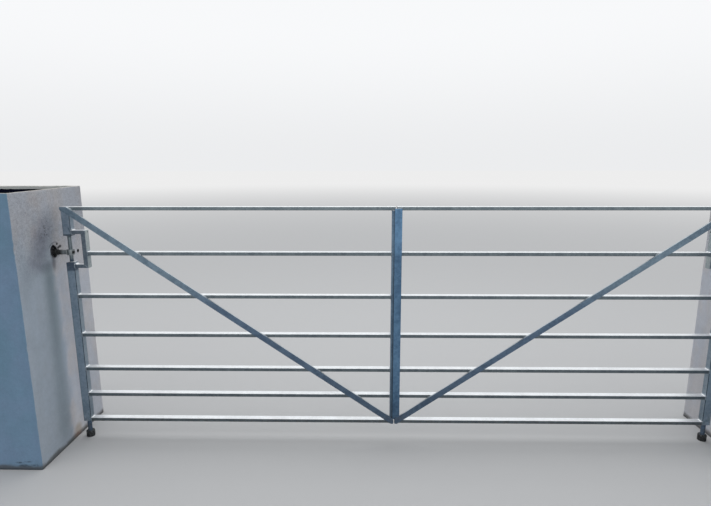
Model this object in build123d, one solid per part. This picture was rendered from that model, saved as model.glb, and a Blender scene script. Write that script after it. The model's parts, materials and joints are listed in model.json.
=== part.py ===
"""Pair of galvanised seven-rail field gates hung between two rendered masonry piers.

Millimetres, +Z up.  X runs along the gates, and Y from the viewer's side to the far side.
The origin is on the ground, midway between the piers and in the middle of their depth.
Each leaf is drawn once, as the left one, and mirrored for the right.
"""
from build123d import *
from math import atan, cos, pi
import os

# Gateway and piers
opening_width = 3760        # clear width between the two pier faces
pier_width = 620            # along the gateway
pier_depth = 620            # through the gateway
pier_height = 1472          # at the far side
rim_fall = 7                # the rim is this much lower at the front
render_thickness = 20       # coat on the four sides of each pier
core_drop = 22              # blockwork stops this far below the rim's high side
arris_radius = 4            # worn outer edges of the render
gate_setback = 29           # middle plane of the leaves, behind the middle of the piers

# Gaps round the leaves
hinge_gap = 48              # from a pier to its leaf
meeting_gap = 8             # between the two meeting stiles
ground_gap = 103            # under the lowest rail

# Leaf sections
section_depth = 38          # every box section of the frame is this deep
rail_height = 20
rail_wall = 2
rail_spaces = (230, 225, 208, 186, 139, 139)   # clear spaces, from the top rail down
stile_width = 45
stile_wall = 3
meeting_stile_width = 20
corner_radius = 3           # rolled corners of the box sections

# Notch in each hinge stile, which gives the hinge eye its room
notch_rise = 120            # top of the upper arm, above the second rail
notch_height = 211          # over both arms
notch_reach = 78            # from the stile to the far face of the notch post
notch_post_width = 25
stile_overrun = 10          # stile ends pass the arms by this much
vent_diameter = 7           # through the post's far side
vent_drop = 12              # from the top of the post to the middle of the vent
vent_setback = 29           # from the front of the post to the middle of the vent

# Hinge
bar_diameter = 20           # upright bar across the notch
pin_diameter = 24           # foot pin
plug_thickness = 5          # square plugs that close the stile ends
running_clearance = 0.3
eye_diameter = 38
eye_height = 30
eye_drop = 94               # middle of the eye, below the end of the upper stile
shank_diameter = 26
shank_embed = 150           # length of the shank inside the blockwork
bolt_hole_clearance = 0.3
nut_across_flats = 41
nut_thickness = 18
nut_chamfer = 2             # taken off the corners of its outer face

# Foot socket
socket_diameter = 46
socket_height = 36
socket_floor = 10
socket_chamfer = 3

# Hole broken through the render round each shank: across and up from the shank's axis
pocket_outline = [(-72, 20), (-60, 38), (-40, 46), (-20, 42), (-6, 27), (12, 25), (25, 18),
                  (28, -4), (21, -22), (0, -26), (-24, -28), (-50, -20), (-68, -4)]

# Stray drilled hole beside the left hinge
drill_diameter = 12
drill_depth = 15
drill_across = 186          # from the shank's axis towards the far side
drill_drop = 26             # below the shank's axis

# Flat bars on the front of the leaves
brace_width = 33
brace_thickness = 10
brace_head_rise = 6         # middle line of a brace above the leaf's top corner, at the hinge end
brace_foot_rise = 11        # and above its foot corner, at the meeting end
stop_bar_width = 40
stop_bar_thickness = 8
stop_bar_overlap = 5        # over the edge of the left leaf
stop_bar_top_gap = 9        # below the top of the leaf
packer_width = 16
packer_thickness = 6        # holds the stop bar off the frame
bar_clearance = 2           # between the stop bar and the braces

# Places that follow from the sizes above
half_opening = opening_width / 2
half_span = half_opening - hinge_gap           # outer face of a hinge stile
leaf_width = half_span - meeting_gap / 2
leaf_height = sum(rail_spaces) + rail_height * (len(rail_spaces) + 1)
leaf_top = ground_gap + leaf_height
front = gate_setback - section_depth / 2       # front face of the frame
rail_tops = [leaf_top - sum(rail_spaces[:i]) - i * rail_height for i in range(len(rail_spaces) + 1)]
axis_x = -half_span + stile_width / 2          # hinge axis of the left leaf
notch_x = -half_span + stile_width + notch_reach
notch_top = rail_tops[1] + notch_rise
notch_foot = notch_top - notch_height
upper_stile_end = notch_top - rail_height - stile_overrun
lower_stile_top = notch_foot + rail_height + stile_overrun
eye_level = upper_stile_end - eye_drop
slope = (leaf_height + brace_head_rise - brace_foot_rise) / leaf_width     # of the braces
brace_half_rise = brace_width / 2 / cos(atan(slope))


def section(across, along, wall):
    """Rounded box section, centred, with a square bore."""
    return RectangleRounded(across, along, corner_radius) - Rectangle(across - 2 * wall, along - 2 * wall)


def level_tube(x_start, x_end, top, wall=rail_wall):
    """Box section laid flat between two places, under the given level."""
    profile = Plane.YZ * section(section_depth, rail_height, wall)
    return Pos(x_start, gate_setback, top - rail_height / 2) * extrude(profile, amount=x_end - x_start)


def upright_tube(x_start, width, foot, top, wall):
    """Box section standing between two levels."""
    profile = section(width, section_depth, wall)
    return Pos(x_start + width / 2, gate_setback, foot) * extrude(profile, amount=top - foot)


def rails():
    """Seven rails: the top one runs over both stiles, and the second starts at the notch."""
    inner = -half_span + stile_width
    far = -half_span + leaf_width
    starts = [-half_span, notch_x] + [inner] * (len(rail_tops) - 2)
    ends = [far] + [far - meeting_stile_width] * (len(rail_tops) - 1)
    return {f"rail_{i + 1}": level_tube(starts[i], ends[i], top) for i, top in enumerate(rail_tops)}


def stiles():
    """Hinge stile in two lengths, above and below the notch, and the meeting stile."""
    under_rail = leaf_top - rail_height
    meeting_x = -half_span + leaf_width - meeting_stile_width
    return {
        "hinge_stile_upper": upright_tube(-half_span, stile_width, upper_stile_end, under_rail, stile_wall),
        "hinge_stile_lower": upright_tube(-half_span, stile_width, ground_gap, lower_stile_top, stile_wall),
        "meeting_stile": upright_tube(meeting_x, meeting_stile_width, ground_gap, under_rail, rail_wall),
    }


def cut_to(tube, points):
    """Tube trimmed to an outline drawn as across and level."""
    return tube & front_plate(points, gate_setback + section_depth / 2, section_depth)


def notch():
    """Two short arms and the post that carry the stile round the hinge eye, mitred together."""
    inner = -half_span + stile_width
    post_x = notch_x - notch_post_width
    upper = notch_top - rail_height
    lower = notch_foot + rail_height
    corners = [(notch_x, notch_top), (post_x, upper), (post_x, lower), (notch_x, notch_foot)]
    post = cut_to(upright_tube(post_x, notch_post_width, notch_foot, notch_top, rail_wall), corners)
    vent = extrude(Plane.YZ * Circle(vent_diameter / 2), amount=-notch_post_width / 2)
    return {
        "notch_upper_arm": cut_to(level_tube(inner, notch_x, notch_top),
                                  [(inner, upper), (inner, notch_top), *corners[:2]]),
        "notch_lower_arm": cut_to(level_tube(inner, notch_x, lower),
                                  [(inner, lower), *corners[2:], (inner, notch_foot)]),
        "notch_post": post - Pos(notch_x, front + vent_setback, notch_top - vent_drop) * vent,
    }


def stile_plug(foot):
    """Square plate that fills the end of a stile."""
    bore = stile_width - 2 * stile_wall
    deep = section_depth - 2 * stile_wall
    return Pos(axis_x, gate_setback, foot + plug_thickness / 2) * Box(bore, deep, plug_thickness)


def round_bar(foot, top, radius):
    """Upright round bar on the hinge axis."""
    return Pos(axis_x, gate_setback, (foot + top) / 2) * Cylinder(radius, top - foot)


def hinge_bars():
    """Bar across the notch and pin under the stile, each with the plugs it is welded to."""
    bar = round_bar(lower_stile_top, upper_stile_end, bar_diameter / 2)
    bar += stile_plug(upper_stile_end) + stile_plug(lower_stile_top - plug_thickness)
    pin = round_bar(socket_floor + running_clearance, ground_gap, pin_diameter / 2)
    pin += stile_plug(ground_gap)
    return {"hinge_bar": bar, "foot_pin": pin}


def brace_edge(from_hinge, side):
    """Level of the brace's upper (side 1) or lower (side -1) edge, at a distance from the hinge edge."""
    return leaf_top + brace_head_rise - slope * from_hinge + side * brace_half_rise


def front_plate(points, back, thickness):
    """Flat plate drawn as across and level, with its back at the given depth."""
    outline = Plane.XZ * make_face(Polyline(*points, close=True))
    return Pos(0, back, 0) * extrude(outline, amount=thickness)


def brace():
    """Flat bar near the leaf's diagonal, trimmed to the outline of the frame at both ends."""
    upper_start = (brace_half_rise + brace_head_rise) / slope
    lower_end = leaf_width - (brace_half_rise - brace_foot_rise) / slope
    outline = [(0, leaf_top), (0, brace_edge(0, -1)), (lower_end, ground_gap), (leaf_width, ground_gap),
               (leaf_width, brace_edge(leaf_width, 1)), (upper_start, leaf_top)]
    return {"brace": front_plate([(x - half_span, z) for x, z in outline], front, brace_thickness)}


def leaf():
    """All the pieces of the left leaf."""
    return rails() | stiles() | notch() | hinge_bars() | brace()


def stop_bar():
    """Cover bar on the right leaf, cut to a V over the feet of the braces, and its packer."""
    left = meeting_gap / 2 - meeting_gap - stop_bar_overlap
    right = left + stop_bar_width
    top = leaf_top - stop_bar_top_gap
    lift = bar_clearance / cos(atan(slope))
    bar_outline = [(left, top), (left, brace_edge(half_span + left, 1) + lift),
                   (0, brace_edge(half_span, 1) + lift),
                   (right, brace_edge(half_span - right, 1) + lift), (right, top)]
    packer_x = meeting_gap / 2 + (meeting_stile_width - packer_width) / 2
    packer_end = packer_x + packer_width
    packer_foot = brace_edge(half_span - packer_end, 1) + lift
    packer_outline = [(packer_x, packer_foot), (packer_end, packer_foot), (packer_end, top), (packer_x, top)]
    return {
        "right_stop_bar": front_plate(bar_outline, front - packer_thickness, stop_bar_thickness),
        "right_stop_bar_packer": front_plate(packer_outline, front, packer_thickness),
    }


def shank_rod(x_start, x_end, radius):
    """Level round rod on the axis of the hinge shank."""
    rod = extrude(Plane.YZ * Circle(radius), amount=x_end - x_start)
    return Pos(x_start, gate_setback, eye_level) * rod


def nut_envelope():
    """Round blank as wide as the nut's corners, chamfered on the outer face."""
    blank = extrude(Plane.YZ * Circle(nut_across_flats / 2 / cos(pi / 6)), amount=nut_thickness)
    return chamfer(blank.edges().group_by(Axis.X)[-1], nut_chamfer)


def hinge_eye():
    """Eye round the hinge bar, with its shank running into the pier, and the nut on the shank."""
    reveal = -half_opening
    core_face = reveal - render_thickness
    eye = round_bar(eye_level - eye_height / 2, eye_level + eye_height / 2, eye_diameter / 2)
    eye += shank_rod(core_face - shank_embed, axis_x, shank_diameter / 2)
    bore = bar_diameter / 2 + running_clearance
    eye -= round_bar(eye_level - eye_height, eye_level + eye_height, bore)
    hexagon = RegularPolygon(nut_across_flats / 2, 6, major_radius=False)
    hexagon -= Circle(shank_diameter / 2 + bolt_hole_clearance)
    nut = Pos(core_face, gate_setback, eye_level) * extrude(Plane.YZ * hexagon, amount=nut_thickness)
    nut &= Pos(core_face, gate_setback, eye_level) * nut_envelope()
    return {"hinge_eye": eye, "hinge_nut": nut}


def foot_socket():
    """Cup on the ground that the foot pin turns in."""
    cup = round_bar(0, socket_height, socket_diameter / 2)
    cup = chamfer(cup.edges().group_by(Axis.Z)[-1], socket_chamfer)
    cup -= round_bar(socket_floor, socket_height + 1, pin_diameter / 2 + running_clearance)
    return {"foot_socket": cup}


def pier():
    """Blockwork core and its render, which stands up past the core as a thin rim."""
    x = -half_opening - pier_width / 2
    core_height = pier_height - core_drop
    core_width = pier_width - 2 * render_thickness
    core_depth = pier_depth - 2 * render_thickness
    core = Pos(x, 0, core_height / 2) * Box(core_width, core_depth, core_height)
    core_face = -half_opening - render_thickness
    core -= shank_rod(core_face - shank_embed, core_face, shank_diameter / 2 + bolt_hole_clearance)
    coat = Pos(x, 0, pier_height / 2) * Box(pier_width, pier_depth, pier_height)
    coat = fillet(coat.edges().filter_by(Axis.Z), arris_radius)
    coat -= Pos(x, 0, pier_height / 2) * Box(core_width, core_depth, pier_height)
    fall = [(-pier_depth / 2, pier_height - rim_fall), (pier_depth / 2, pier_height), (-pier_depth / 2, pier_height)]
    over_rim = Plane.YZ * make_face(Polyline(*fall, close=True))
    coat -= Pos(x - pier_width / 2, 0, 0) * extrude(over_rim, amount=pier_width)
    pocket = Plane.YZ * make_face(Polyline(*pocket_outline, close=True))
    coat -= Pos(core_face, gate_setback, eye_level) * extrude(pocket, amount=render_thickness)
    return {"pier_core": core, "pier_render": coat}


def drilled(coat):
    """The left pier's render with its stray hole."""
    hole = extrude(Plane.YZ * Circle(drill_diameter / 2), amount=-drill_depth)
    return coat - Pos(-half_opening, gate_setback + drill_across, eye_level - drill_drop) * hole


def assembly():
    """Every named piece of both sides."""
    one_side = leaf() | hinge_eye() | foot_socket() | pier()
    pieces = {f"left_{name}": shape for name, shape in one_side.items()}
    pieces |= {f"right_{name}": mirror(shape, about=Plane.YZ) for name, shape in one_side.items()}
    pieces["left_pier_render"] = drilled(pieces["left_pier_render"])
    return pieces | stop_bar()


os.makedirs("parts", exist_ok=True)
for name, shape in assembly().items():
    export_step(shape, f"parts/{name}.step")
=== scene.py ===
"""Looks for a pair of galvanised field gates hung between two rendered masonry piers.

Metres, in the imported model's frame: +X along the gates to the right, +Y away from the viewer, +Z up.
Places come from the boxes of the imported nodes.  Both sides are drawn in distances from the middle,
and a hand of -1 puts a piece on the left, +1 on the right.
"""
import json
import math
import random
from collections import namedtuple

import bmesh
import bpy
from mathutils import Matrix, Vector, noise


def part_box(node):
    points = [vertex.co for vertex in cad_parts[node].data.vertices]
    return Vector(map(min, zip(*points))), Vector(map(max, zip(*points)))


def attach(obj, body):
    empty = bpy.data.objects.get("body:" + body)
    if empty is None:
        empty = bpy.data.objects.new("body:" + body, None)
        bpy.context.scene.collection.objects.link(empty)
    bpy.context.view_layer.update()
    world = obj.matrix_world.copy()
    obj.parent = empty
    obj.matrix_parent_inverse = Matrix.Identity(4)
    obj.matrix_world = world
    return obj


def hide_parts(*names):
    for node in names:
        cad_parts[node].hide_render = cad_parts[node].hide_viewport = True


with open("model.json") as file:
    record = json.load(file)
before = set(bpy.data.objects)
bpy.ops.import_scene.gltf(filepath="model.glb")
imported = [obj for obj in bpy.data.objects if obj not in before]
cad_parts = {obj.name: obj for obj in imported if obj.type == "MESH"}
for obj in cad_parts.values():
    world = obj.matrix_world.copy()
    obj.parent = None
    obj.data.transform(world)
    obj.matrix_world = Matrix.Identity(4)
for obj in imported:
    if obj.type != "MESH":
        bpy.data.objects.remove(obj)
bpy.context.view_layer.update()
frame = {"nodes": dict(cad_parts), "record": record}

# Camera, fitted to the edges of the piers and rails in the photograph
CAMERA_PLACE = (-0.179, -2.612, 1.606)
CAMERA_TILT = 10.574        # degrees down from level
CAMERA_HEADING = 0.941      # degrees to the left of straight ahead
CAMERA_ROLL = -0.091
CAMERA_LENS = 24.62         # mm
SENSOR_WIDTH = 36           # mm
CAMERA_SIGHT = 200          # beyond the edge of the floor

# Light and stage, where 1 is white
LIGHT_COLOUR = (0.985, 0.995, 1.01, 1.0)
FRONT_LEVEL = 1.0
BEHIND_LEVEL = 0.95
OVERHEAD_LEVEL = 0.9
HORIZON_LEVEL = 0.85
LAMP_PLACE = (0.0, 1.2, 5.0)
LAMP_SIZE = (5.0, 3.0)
LAMP_LEAN = -12             # degrees, so that it points at the gates
LAMP_POWER = 60             # W
FLOOR_COLOUR = (0.50, 0.505, 0.51)
FLOOR_BOUNCE = (0.25, 0.253, 0.258)     # its colour for light scattered back onto the object
FLOOR_HALF = 90.0
FLOOR_FADE = (2.0, 36.0)    # the floor turns into the backdrop between these distances
FLOOR_DROP = 0.0005         # keeps it clear of the undersides that stand on it

# Colours of the render and the blockwork, of the marks on them, and of the light and shade painted on them
PALE_WARM = (0.395, 0.392, 0.408)
PALE_GREY = (0.372, 0.393, 0.436)
PALE_BLUE = (0.262, 0.310, 0.362)
# painted shade on the face towards the viewer, bluer and darker than the rest
FRONT_SHADE_GREEN = (0.165, 0.283, 0.395)
FRONT_SHADE_VIOLET = (0.190, 0.286, 0.418)
# painted highlight on the rim's top, and painted light on its inner side
RIM_TOP_HIGHLIGHT = (0.50, 0.48, 0.44)
RIM_INSIDE_LIGHT = (0.55, 0.575, 0.55)
MOSS = (0.16, 0.175, 0.12)
# dirt in marks, and painted shade inside the holes
SOOT_AND_HOLE_SHADE = (0.018, 0.019, 0.023)
SMUDGE = (0.115, 0.118, 0.155)
SCUFF = (0.050, 0.052, 0.070)
DAMP_PATCH = (0.115, 0.120, 0.150)
WET_PATCH = (0.105, 0.122, 0.142)
GREY_PATCH = (0.115, 0.130, 0.150)
STREAK = (0.145, 0.195, 0.215)
DRIP = (0.085, 0.085, 0.10)
CRACK = (0.10, 0.10, 0.12)
EARTH = (0.085, 0.080, 0.072)
DRIED_MUD = (0.42, 0.365, 0.30)
CLAY = (0.23, 0.155, 0.13)
FRONT_MARK = (0.055, 0.085, 0.115)
# near-black blockwork: painted shade of the pier's open top and of the hole round the shank
BLOCK_SHADED_DARK = (0.0008, 0.001, 0.004)
BLOCK_SHADED_LIGHT = (0.004, 0.0048, 0.012)
BLOCK_MOSS = (0.009, 0.012, 0.008)
BLOCK_BROKEN = (0.055, 0.056, 0.062)

# Colours of the galvanised steel and the hinges, of the marks on them, and of the light and shade painted on
# them
# painted highlight on upper faces
TOP_HIGHLIGHT = (0.90, 0.93, 0.95)     # upper faces
PLAIN = (1.0, 1.0, 1.0)         # a tint that changes nothing
EDGE_SHADE = (0.02, 0.04, 0.06)
CREVICE_SHADE = (0.015, 0.030, 0.045)
HEAD_PATCH = (0.075, 0.105, 0.150)
# painted shade at the foot of the upper stile
STILE_FOOT_SHADE = (0.060, 0.085, 0.105)
SLANT_MARK = (0.040, 0.070, 0.090)
DAMP_ZINC = (0.105, 0.140, 0.150)
SPLASHED = (0.12, 0.115, 0.105)
DULL_STEEL = (0.21, 0.225, 0.24)
BRIGHT_STEEL = (0.36, 0.40, 0.41)
# grime, and painted shade near the pier and on the hinge eye
GRIME_AND_SHADE = (0.026, 0.026, 0.027)

# Welds
BEAD_RADIUS = 0.0032
BRACE_BEAD_RADIUS = 0.0026
MITRE_BEAD_RADIUS = 0.0024
BEAD_STEP = 0.0013
BEAD_SIDES = 7
BEAD_PROUD = 0.0008         # a bead's middle line stands this far off its face
MITRE_BEAD_SUNK = 0.0012    # and a mitre's lies this deep, so that it is flat
BEAD_SWAY = 0.0006
BEAD_UNEVEN = 0.22          # share of the radius
RIPPLE_DEPTH = 0.13         # share of the radius
RIPPLE_PITCH = 0.0036
FILL_SUNK = 0.001           # a fillet reaches this deep into the faces of its corner
FILL_STEPS = 14
SECTION_CORNER = 0.003      # rounding of the box sections

# Steel
BRACE_WIDTH = 0.033
BRACE_HEAD_RISE = 0.006     # middle line of a brace, above the leaf's corner at the hinge end
BRACE_FOOT_RISE = 0.011     # and at the meeting end
BAR_ARRIS = 0.0009          # rounding on the edges of the flat bars
HINGE_BAR_RADIUS = 0.010
FOOT_PIN_RADIUS = 0.012
SHANK_RADIUS = 0.013
THREAD_PITCH = 0.0025
THREAD_TURNS = 10
THREAD_HALF_WIDTH = 0.00085
THREAD_DEPTH = 0.0006       # above and below the shank's own radius

# Piers
COAT_INSET = 0.020          # thickness of the render
COAT_SIDE_STEPS = 46
COAT_ROWS = 92
CORNER = 0.006
RIM_FALL = 0.007            # the rim is this much lower at the front
RIM_ROUND = 0.005
RIM_UNEVEN = 0.0006
FLOAT_WAVES = 0.0008        # broad hollows left by the float
FLOAT_MARKS = 0.00035       # and small ones
ARRIS_WEAR = 0.0012
DRILL_ACROSS = 0.186        # stray hole in the left pier, from the hinge towards the far side
DRILL_DROP = 0.026          # and below the hinge
DRILL_RADIUS = 0.006
ON_FACE = 1e-4              # a point this near a face lies on it

SIDES = {"left": -1, "right": 1}
Reach = namedtuple("Reach", "near far front back foot top")


def reach(node):
    """A node's box, with its X as distances from the middle."""
    low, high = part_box(node)
    near, far = sorted((abs(low.x), abs(high.x)))
    return Reach(near, far, low.y, high.y, low.z, high.z)


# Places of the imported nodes, read on the left; the right side is its mirror image
RAILS = [reach(f"left_rail_{i}") for i in range(1, 8)]
STILE = reach("left_hinge_stile_lower")
UPPER_STILE = reach("left_hinge_stile_upper")
MEETING_STILE = reach("left_meeting_stile")
UPPER_ARM = reach("left_notch_upper_arm")
LOWER_ARM = reach("left_notch_lower_arm")
POST = reach("left_notch_post")
BRACE = reach("left_brace")
EYE = reach("left_hinge_eye")
NUT = reach("left_hinge_nut")
RENDER = reach("left_pier_render")
CORE = reach("left_pier_core")
HINGE_Y = (EYE.front + EYE.back) / 2
HINGE_Z = (EYE.foot + EYE.top) / 2
STOP_BAR_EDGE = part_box("right_stop_bar")[0].x


def camera():
    """The photograph's point of view."""
    data = bpy.data.cameras.new("camera")
    data.sensor_width = SENSOR_WIDTH
    data.lens = CAMERA_LENS
    data.clip_end = CAMERA_SIGHT
    view = bpy.data.objects.new("camera", data)
    heading = Matrix.Rotation(math.radians(CAMERA_HEADING), 4, "Z")
    tilt = Matrix.Rotation(math.radians(90 - CAMERA_TILT), 4, "X")
    roll = Matrix.Rotation(math.radians(CAMERA_ROLL), 4, "Z")
    view.matrix_world = Matrix.Translation(CAMERA_PLACE) @ heading @ tilt @ roll
    bpy.context.scene.collection.objects.link(view)
    bpy.context.scene.camera = view


# Node trees

MIX_INPUTS = (0, 6, 7)      # a Mix node's sockets for the amount and the two colours
MIX_OUTPUT = 2              # and for the mixed colour


class Graph:
    """Short calls for building one node tree."""

    def __init__(self, tree):
        self.tree = tree

    def node(self, kind, **settings):
        made = self.tree.nodes.new(kind)
        for key, value in settings.items():
            setattr(made, key, value)
        return made

    def feed(self, socket, value):
        if isinstance(value, bpy.types.NodeSocket):
            self.tree.links.new(value, socket)
        else:
            socket.default_value = value

    def maths(self, operation, *values, clamp=False):
        made = self.node("ShaderNodeMath", operation=operation, use_clamp=clamp)
        for socket, value in zip(made.inputs, values):
            self.feed(socket, value)
        return made.outputs[0]

    def ramp(self, value, start, end, low=0.0, high=1.0):
        """Smooth change from low to high as the value goes from start to end."""
        made = self.node("ShaderNodeMapRange", interpolation_type="SMOOTHSTEP")
        for socket, given in zip(made.inputs, (value, start, end, low, high)):
            self.feed(socket, given)
        return made.outputs[0]

    def colour(self, amount, first, second, kind="MIX"):
        made = self.node("ShaderNodeMix", data_type="RGBA", blend_type=kind)
        for index, given in zip(MIX_INPUTS, (amount, first, second)):
            self.feed(made.inputs[index], (*given, 1.0) if isinstance(given, tuple) else given)
        return made.outputs[MIX_OUTPUT]

    def tinted(self, colour, tint, amount=1.0):
        """The colour times a tint."""
        return self.colour(amount, colour, tint, "MULTIPLY")

    def split(self, vector):
        made = self.node("ShaderNodeSeparateXYZ")
        self.feed(made.inputs[0], vector)
        return made.outputs

    def grey(self, value):
        made = self.node("ShaderNodeCombineColor")
        for socket in made.inputs:
            self.feed(socket, value)
        return made.outputs[0]

    def times(self, *values):
        product = values[0]
        for value in values[1:]:
            product = self.maths("MULTIPLY", product, value)
        return product

    def total(self, *values):
        added = values[0]
        for value in values[1:]:
            added = self.maths("ADD", added, value)
        return added

    def less(self, value, taken):
        return self.maths("SUBTRACT", value, taken)

    def over(self, value, start, end):
        """1 between two values and 0 outside them, with soft ends a tenth of the width."""
        soft = (end - start) / 10
        rise = self.ramp(value, start - soft, start + soft)
        return self.times(rise, self.ramp(value, end + soft, end - soft))


class Surface(Graph):
    """One material, with its textures laid in the object's own space."""

    def __init__(self, name):
        self.material = bpy.data.materials.new(name)
        self.material.use_nodes = True
        super().__init__(self.material.node_tree)
        self.shader = self.tree.nodes["Principled BSDF"]
        coordinates = self.node("ShaderNodeTexCoord")
        self.place = coordinates.outputs["Object"]
        self.facing = coordinates.outputs["Normal"]
        self.x, self.y, self.z = self.split(self.place)
        self.out = self.maths("ABSOLUTE", self.x)       # distance from the middle of the gateway

    def stretched(self, stretch):
        made = self.node("ShaderNodeMapping")
        self.feed(made.inputs["Vector"], self.place)
        made.inputs["Scale"].default_value = stretch
        return made.outputs[0]

    def noise(self, scale, detail=3.0, roughness=0.5, stretch=None):
        """Cloudy texture from about 0.2 to 0.8."""
        made = self.node("ShaderNodeTexNoise")
        self.feed(made.inputs["Vector"], self.stretched(stretch) if stretch else self.place)
        made.inputs["Scale"].default_value = scale
        made.inputs["Detail"].default_value = detail
        made.inputs["Roughness"].default_value = roughness
        return made.outputs["Fac"]

    def cells(self, scale):
        """A random value from 0 to 1 in each cell."""
        made = self.node("ShaderNodeTexVoronoi")
        self.feed(made.inputs["Vector"], self.place)
        made.inputs["Scale"].default_value = scale
        return self.split(made.outputs["Color"])[0]

    def near_line(self, value, middle, spread):
        """1 where a value is at the middle, falling smoothly to 0 at the spread."""
        return self.ramp(self.maths("ABSOLUTE", self.less(value, middle)), spread, 0.0)

    def away(self, across, middle, spread, level, rise):
        """Distance from a place on an upright face, as a share of an ellipse round it."""
        along = self.maths("DIVIDE", self.less(across, middle), spread)
        up = self.maths("DIVIDE", self.less(self.z, level), rise)
        return self.maths("SQRT", self.total(self.times(along, along), self.times(up, up)))

    def spot(self, across, middle, spread, level, rise, edge=0.0):
        """1 at a place on an upright face, and as far as the edge, falling smoothly to 0 on an ellipse."""
        return self.ramp(self.away(across, middle, spread, level, rise), 1.0, edge)

    def bump(self, height, distance):
        made = self.node("ShaderNodeBump")
        made.inputs["Strength"].default_value = 1.0
        made.inputs["Distance"].default_value = distance
        self.feed(made.inputs["Height"], height)
        return made.outputs["Normal"]

    def finish(self, colour, roughness, normal, metallic=0.0):
        self.feed(self.shader.inputs["Base Color"], colour)
        self.feed(self.shader.inputs["Roughness"], roughness)
        self.feed(self.shader.inputs["Normal"], normal)
        self.shader.inputs["Metallic"].default_value = metallic
        return self.material


# Materials, each built on a surface s

def zinc(name, dull, bright, top_highlight=TOP_HIGHLIGHT, roughness=0.34, spangle=110.0, stains_and_shade=1.0, side=PLAIN,
         low_shade=1.0, low_reach=1.2, head=(1.09, 1.14), shade_below_head=PLAIN, edges=0.0, crevice=0.0):
    """Hot-dip galvanised steel, dull and cloudy, with a painted highlight on top and marks round the notch.

    Faces across the gateway are tinted by side, painted light on some parts and painted shade on others.
    The foot of the leaf is darker by low_shade, up to low_reach, and what lies below the levels of the
    head is tinted by shade_below_head, both painted shade.  Upright edges are darker by edges, painted
    shade, and the strip beside the stop bar by crevice, a painted shadow.
    """
    s = Surface(name)
    crystals = s.cells(spangle)
    clouds = s.noise(7.0, 5.0, 0.6)
    runs = s.noise(30.0, 3.0, 0.5, stretch=(1.0, 1.0, 0.18))
    flecks = s.noise(48.0, 4.0, 0.65)
    speckle = s.noise(60.0, 4.0, 0.65)
    tone = s.total(s.times(clouds, 0.55), s.times(flecks, 0.35), s.times(crystals, 0.1))
    tone = s.total(tone, s.times(s.less(runs, 0.5), 0.2))
    across, along, upward = s.split(s.facing)
    across = s.maths("ABSOLUTE", across)
    sideways = s.ramp(across, 0.6, 0.8)
    colour = s.colour(s.ramp(tone, 0.34, 0.66), dull, bright)
    # painted light on some parts and painted shade on others, on faces across the gateway
    colour = s.tinted(colour, side, sideways)
    # painted shade, darker low down and below the levels of the head
    colour = s.tinted(colour, s.grey(s.ramp(s.z, 0.1, low_reach, low_shade, 1.0)))
    colour = s.tinted(colour, s.colour(s.ramp(s.z, *head), shade_below_head, PLAIN))
    # painted shade on upright edges, and a painted shadow beside the stop bar
    turning = s.maths("MINIMUM", across, s.maths("ABSOLUTE", along))
    colour = s.colour(s.times(s.ramp(turning, 0.1, 0.3), edges), colour, EDGE_SHADE)
    beside_bar = s.times(s.near_line(s.x, STOP_BAR_EDGE, 0.009), s.ramp(along, -0.3, -0.7))
    beside_bar = s.times(beside_bar, s.ramp(s.z, 1.2, 1.0, 0.4, 1.0))
    colour = s.colour(s.times(beside_bar, crevice), colour, CREVICE_SHADE)
    # painted highlight on upper faces
    top = s.tinted(top_highlight, s.grey(s.ramp(tone, 0.3, 0.68, 0.88, 1.06)))
    colour = s.colour(s.ramp(upward, 0.5, 0.9), colour, top)
    head_patch = s.times(stile_head_patch(s, speckle), stains_and_shade)
    colour = s.colour(head_patch, colour, HEAD_PATCH)
    colour = notch_stains_and_shade(s, colour, speckle, sideways, stains_and_shade)
    low = s.times(s.ramp(s.z, 0.22, 0.08), s.ramp(speckle, 0.42, 0.62), s.ramp(upward, 0.6, 0.3))
    colour = s.colour(s.times(low, 0.45), colour, SPLASHED)
    gloss = s.total(roughness, s.times(s.less(0.5, clouds), 0.25), s.times(crystals, 0.04))
    gloss = s.total(gloss, s.times(low, 0.25), s.times(head_patch, 0.2))
    return s.finish(colour, gloss, s.bump(s.noise(150.0, 2.0), 0.00005), 0.7)


def stile_head_patch(s, speckle):
    """A darker blue patch on the head of the lower stile."""
    level = s.over(s.z, STILE.top - 0.047, STILE.top + 0.02)
    by_edge = s.ramp(s.out, STILE.near - 0.019, STILE.near - 0.003)
    return s.times(level, by_edge, s.ramp(speckle, 0.2, 0.5, 0.55, 0.9))


def notch_stains_and_shade(s, colour, speckle, sideways, stains_and_shade):
    """Painted shade at the upper stile's foot, a dark line slanting up from it, and damp on the post's side.
    """
    # painted shade at the foot of the upper stile
    foot_shade = s.times(s.over(s.z, UPPER_STILE.foot - 0.01, UPPER_STILE.foot + 0.009),
                       s.ramp(s.out, STILE.near - 0.021, STILE.near - 0.013),
                       s.ramp(speckle, 0.2, 0.5, 0.4, 0.8), stains_and_shade)
    colour = s.colour(foot_shade, colour, STILE_FOOT_SHADE)
    leaning = s.total(s.out, s.times(s.less(s.z, UPPER_STILE.foot), -0.35))
    slant_mark = s.times(s.near_line(leaning, STILE.near - 0.004, 0.0065),
                  s.over(s.z, UPPER_STILE.foot, UPPER_STILE.foot + 0.045), 0.55, stains_and_shade)
    colour = s.colour(slant_mark, colour, SLANT_MARK)
    damp = s.times(s.over(s.z, POST.foot + 0.012, POST.foot + 0.058),
                   s.over(s.out, POST.near + 0.006, POST.far + 0.011), sideways, 0.65, stains_and_shade)
    return s.colour(damp, colour, DAMP_ZINC)


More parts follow.
